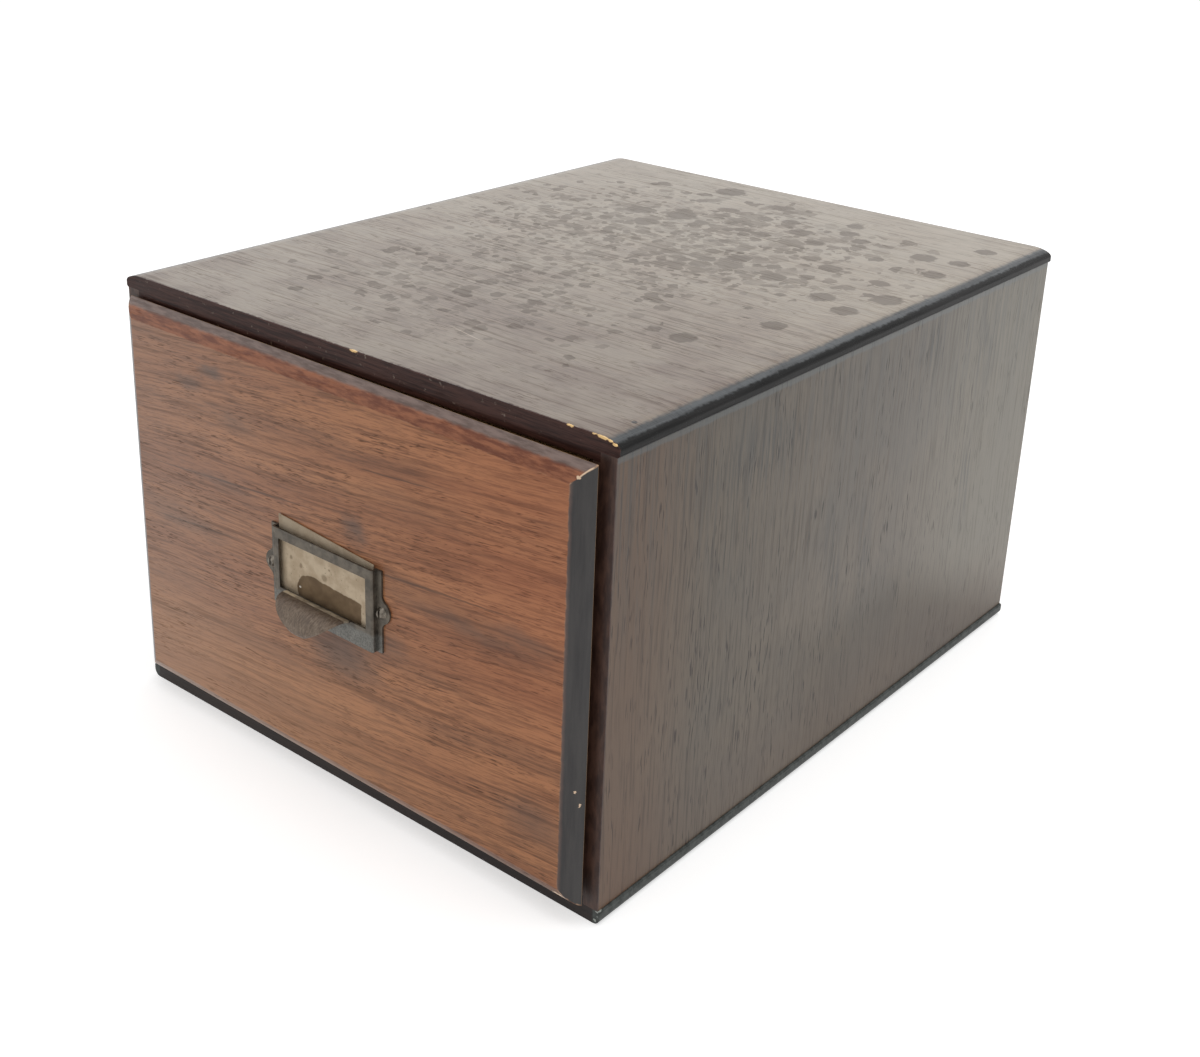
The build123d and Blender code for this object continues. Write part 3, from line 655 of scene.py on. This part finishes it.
def side_material():
    """Grey-brown veneer with upright grain, browner in front, with a painted sheen high up at the rear and
    painted shade low down at the rear.
    """
    g = Graph("case_side_wood")
    place = g.place
    _, y, z = g.axes(place)
    color, height, dull = timber(g, place, Z, Y, SIDE_TONES, 0.25, 0.36, 0.9, 1.7)
    color = g.tint(color, "4a4640", g.span(g.noise(place, 18.0, 3.0, 0.55), 0.4, 0.62, 0.0, 0.35))
    slope = g.span(y, 0.04, 0.15, 0.053, 0.006, smooth=False)
    upper = g.span(g.less(z, slope), -0.02, 0.03)
    # Painted sheen: paler grey above the falling line, towards the rear.
    color = g.tint(color, "827c6c", g.span(y, 0.02, 0.12, 0.0, 0.45), upper)
    # Painted shade: darker below that line, towards the rear.
    color = g.tint(color, "352e25", g.span(upper, 1.0, 0.0), g.span(y, -0.04, 0.10, 0.0, 0.4))
    warm = g.math("ADD", g.span(y, -0.09, -0.15, 0.0, 0.6), g.span(z, 0.06, 0.01, 0.0, 0.2))
    color = g.tint(color, "64462f", warm)
    color = g.tint(color, "2b201a", dull, g.span(y, 0.02, -0.12, 0.15, 0.65))
    color = side_marks(g, place, color)
    front = g.below(g.axes(ragged(g, place, 0.003, 0.0004))[Y], FRONT_Y + FRONT_SKIN, 0.0002)
    ends = g.union(front, g.above(y, BACK_Y - REAR_SKIN, 0.0001))
    color = g.mix(ends, color, g.pair(grain(g, place, Z, (0.010, 0.003), 4.0, 0.6), SIDE_END))
    shine = g.product(g.span(y, -0.15, 0.08, 0.15, 0.5), g.fade(dull, 0.2), g.fade(ends, 0.2))
    shine = g.product(shine, g.union(upper, g.span(y, 0.0, -0.10, 0.3, 1.0)))
    relief = g.bump(height, 0.3, WOOD_RELIEF)
    return g.surface(color, roughness=0.45, normal=relief, IOR=1.4, Coat_Weight=shine, Coat_Roughness=0.35)


def base_material():
    """The bottom board: nearly black in front, slate along its sides, with a scratched corner."""
    g = Graph("case_bottom_wood")
    color, height, _ = timber(g, g.place, X, Y, BASE_TONES, 0.5, 0.5, 0.5)
    flank = g.above(g.size(g.axes()[X]), HALF_WIDTH - BASE_FLANK_BREADTH, 0.0005)
    color = g.mix(flank, color, g.pair(g.noise(g.place, 400.0, 3.0, 0.6), BASE_FLANK))
    chips = patches(g, ragged(g, g.place, 0.0012, 0.0006), BASE_CHIPS, 0.4)
    color = g.tint(color, "a3a8a2", chips)
    return g.surface(color, roughness=0.5, normal=g.bump(height, 0.3, WOOD_RELIEF), IOR=1.35)


def back_material():
    """The back panel's plain, unpolished wood."""
    g = Graph("case_back_wood")
    color, height, _ = timber(g, g.place, X, Z, BACK_TONES, 0.5, 0.5, 0.6)
    return g.surface(color, roughness=0.6, normal=g.bump(height, 0.3, WOOD_RELIEF), IOR=1.4)


# ---------------------------------------------------------------- metal and paper
def steel(name, tones, size, metallic):
    """Old steel: a cloudy patina of two tones, with fine dark specks."""
    g = Graph(name)
    clouds = g.noise(g.place, 1 / size, 4.0, 0.65)
    fine = g.noise(g.place, 3500.0, 3.0, 0.7)
    color = g.tint(g.pair(clouds, tones), tones[0], g.span(fine, 0.5, 0.8, 0.0, 0.5))
    height = g.math("ADD", g.product(clouds, 0.6), g.product(fine, 0.4))
    roughness = g.span(clouds, 0.3, 0.7, 0.32, 0.52)
    return g.surface(color, roughness, g.bump(height, 0.4, 0.00015), Metallic=metallic)


def holder_material():
    """Dark patinated sheet: greyer low down, brown and scuffed on the finger lip, pale behind its crest."""
    g = Graph("label_holder_metal")
    place = drawer_place(g)
    _, y, z = g.axes(ragged(g, place, 0.003, 0.0005))
    clouds = g.noise(place, 220.0, 4.0, 0.6)
    fine = g.noise(place, 1500.0, 3.0, 0.7)
    color = g.pair(clouds, HOLDER_DARK)
    color = g.mix(g.below(z, HOLDER_FOOT_Z, 0.0008), color, g.pair(fine, HOLDER_GREY))
    scuffs = g.mapped(scale=(1500, 600, 600), turn=(0.0, radians(35), 0.0), place=place)
    brown = g.pair(g.noise(scuffs, 1.0, 4.0, 0.7), HOLDER_BROWN, 0.32, 0.72)
    brown = g.tint(brown, "635850", g.span(clouds, 0.45, 0.65, 0.0, 0.5))
    on_lip = g.below(y, LIP_ROLL_Y, 0.00035)
    color = g.mix(on_lip, color, brown)
    crest = g.above(g.axes(place)[Y], CREST_Y + 0.00065, 0.00025)
    color = g.tint(color, "d2c6b0", crest, on_lip, g.span(clouds, 0.35, 0.55, 0.5, 1.0))
    height = g.math("ADD", g.product(clouds, 0.5), g.product(fine, 0.5))
    roughness = g.span(clouds, 0.3, 0.7, 0.38, 0.55)
    return g.surface(color, roughness, g.bump(height, 0.4, 0.0002), Metallic=0.75)


def label_stain(g, place):
    """A band along the label's foot, round at its left end, with an upper edge that falls to the right."""
    middle, radii = LABEL_STAIN
    x, _, z = g.axes(place)
    fallen = g.math("ADD", z, g.product(g.less(x, middle[X]), STAIN_FALL))
    band = g.product(g.below(fallen, STAIN_TOP - 0.00005, 0.00025), g.above(x, middle[X] - 0.00005, 0.00005),
                     g.below(x, STAIN_RIGHT, 0.0003))
    return g.union(band, patch(g, place, middle, radii, 0.06))


def paper_material():
    """Aged label paper, specked, duller where it stands out of the holder, and stained from below."""
    g = Graph("label_paper")
    place = drawer_place(g)
    mottle = g.noise(place, 150.0, 4.0, 0.6)
    color = g.pair(mottle, PAPER)
    color = g.tint(color, "6b5a42", g.span(g.noise(place, 900.0, 1.0), 0.68, 0.74), 0.5)
    color = g.tint(color, "76695a", g.above(g.axes(place)[Z], CARD_PROUD_Z, 0.00075, 0.45))
    soaked = ragged(g, place, 0.003, 0.0007)
    dots = g.product(patches(g, soaked, LABEL_SPOTS, 0.6), 0.6)
    stain = g.product(g.union(label_stain(g, soaked), dots), 0.92)
    color = g.mix(stain, color, g.pair(mottle, PAPER_BROWN, 0.3, 0.7))
    color = g.tint(color, "efe8dc", patch(g, place, *LABEL_GLINT, 0.4))
    return g.surface(color, roughness=0.75, normal=g.bump(mottle, 0.3, 0.0001), IOR=1.35)


# ---------------------------------------------------------------- dressing the frame's nodes
def assign(material, *nodes):
    """Gives CAD nodes one material all over."""
    for node in nodes:
        mesh = frame["nodes"][node].data
        mesh.materials.clear()
        mesh.materials.append(material)


def dress():
    """Every node of the frame gets its material."""
    assign(top_material(), "case_top")
    assign(side_material(), "case_side_left", "case_side_right")
    assign(base_material(), "case_bottom")
    assign(back_material(), "case_back")
    assign(front_material(), "drawer_front")
    assign(inner_material("drawer_side_wood", Y, Z), "drawer_side_left", "drawer_side_right")
    assign(inner_material("drawer_back_wood", X, Z), "drawer_back", "follower_board")
    assign(inner_material("drawer_panel_wood", X, Y), "drawer_bottom")
    assign(holder_material(), "label_holder")
    assign(steel("holder_screw_metal", SCREW_STEEL, 0.002, 0.8), "holder_screws")
    assign(paper_material(), "label_card")
    assign(steel("dull_steel", DULL_STEEL, 0.01, 0.9), "follower_track", "track_screws", "follower_bracket",
           "follower_screws", "cam_pin", "cam_lever", "back_brads")


# ---------------------------------------------------------------- stage, light and camera
def floor():
    """A plain pale floor, white where it is lit, that keeps the shadow."""
    mesh = bpy.data.meshes.new("floor")
    corners = [(x * FLOOR_HALF, y * FLOOR_HALF, 0.0) for x, y in ((-1, -1), (1, -1), (1, 1), (-1, 1))]
    mesh.from_pydata(corners, [], [(0, 1, 2, 3)])
    plane = bpy.data.objects.new("floor", mesh)
    bpy.context.scene.collection.objects.link(plane)
    g = Graph("floor_paper")
    ray = g.node("ShaderNodeLightPath")
    seen = g.union(ray.outputs["Is Camera Ray"], ray.outputs["Is Glossy Ray"])
    diffuse = g.node("ShaderNodeBsdfDiffuse")
    g.feed(diffuse.inputs["Color"], g.mix(seen, FLOOR_LIT, FLOOR_PALE))
    glow = g.node("ShaderNodeEmission")
    g.feed(glow.inputs["Strength"], g.product(seen, FLOOR_GLOW))
    both = g.node("ShaderNodeAddShader")
    g.tree.links.new(diffuse.outputs[0], both.inputs[0])
    g.tree.links.new(glow.outputs[0], both.inputs[1])
    g.tree.links.new(both.outputs[0], g.output.inputs[0])
    mesh.materials.append(g.material)


def world():
    """A plain pale surround: full white where it is seen, softer as a light."""
    surround = bpy.data.worlds.new("surround")
    bpy.context.scene.world = surround
    surround.use_nodes = True
    tree = surround.node_tree
    tree.nodes.clear()
    out = tree.nodes.new("ShaderNodeOutputWorld")
    ray = tree.nodes.new("ShaderNodeLightPath")
    strength = tree.nodes.new("ShaderNodeMapRange")
    strength.inputs["To Min"].default_value = WORLD_LIGHT
    strength.inputs["To Max"].default_value = 1.0
    back = tree.nodes.new("ShaderNodeBackground")
    back.inputs["Color"].default_value = (1.0, 1.0, 1.0, 1.0)
    seen = tree.nodes.new("ShaderNodeMath")
    seen.operation = "MAXIMUM"
    tree.links.new(ray.outputs["Is Camera Ray"], seen.inputs[0])
    tree.links.new(ray.outputs["Is Glossy Ray"], seen.inputs[1])
    tree.links.new(seen.outputs[0], strength.inputs["Value"])
    tree.links.new(strength.outputs[0], back.inputs["Strength"])
    tree.links.new(back.outputs[0], out.inputs[0])


def lamp():
    """One wide, soft lamp overhead."""
    data = bpy.data.lights.new("overhead", "AREA")
    data.shape = "DISK"
    data.size = LAMP_SIZE
    data.energy = LAMP_POWER
    made = bpy.data.objects.new("overhead", data)
    made.location = LAMP_PLACE
    made.rotation_mode = "QUATERNION"
    made.rotation_quaternion = (Vector(LAMP_TARGET) - Vector(LAMP_PLACE)).to_track_quat("-Z", "Y")
    bpy.context.scene.collection.objects.link(made)


def camera():
    """The photograph's camera."""
    yaw, pitch, roll = radians(CAMERA_YAW), radians(CAMERA_PITCH), radians(CAMERA_ROLL)
    back = Vector((sin(yaw) * cos(pitch), -cos(yaw) * cos(pitch), sin(pitch)))
    level = Vector((cos(yaw), sin(yaw), 0.0))
    upright = back.cross(level)
    right = cos(roll) * level + sin(roll) * upright
    up = cos(roll) * upright - sin(roll) * level
    data = bpy.data.cameras.new("camera")
    data.sensor_width = CAMERA_SENSOR
    data.lens = CAMERA_LENS
    data.shift_x, data.shift_y = CAMERA_SHIFT
    data.clip_start, data.clip_end = CAMERA_CLIP
    made = bpy.data.objects.new("camera", data)
    turn = Matrix((right, up, back)).transposed().to_4x4()
    made.matrix_world = Matrix.Translation(CAMERA_PLACE) @ turn
    bpy.context.scene.collection.objects.link(made)
    bpy.context.scene.camera = made


bpy.context.scene.view_settings.view_transform = "Standard"
dress()
floor()
world()
lamp()
camera()
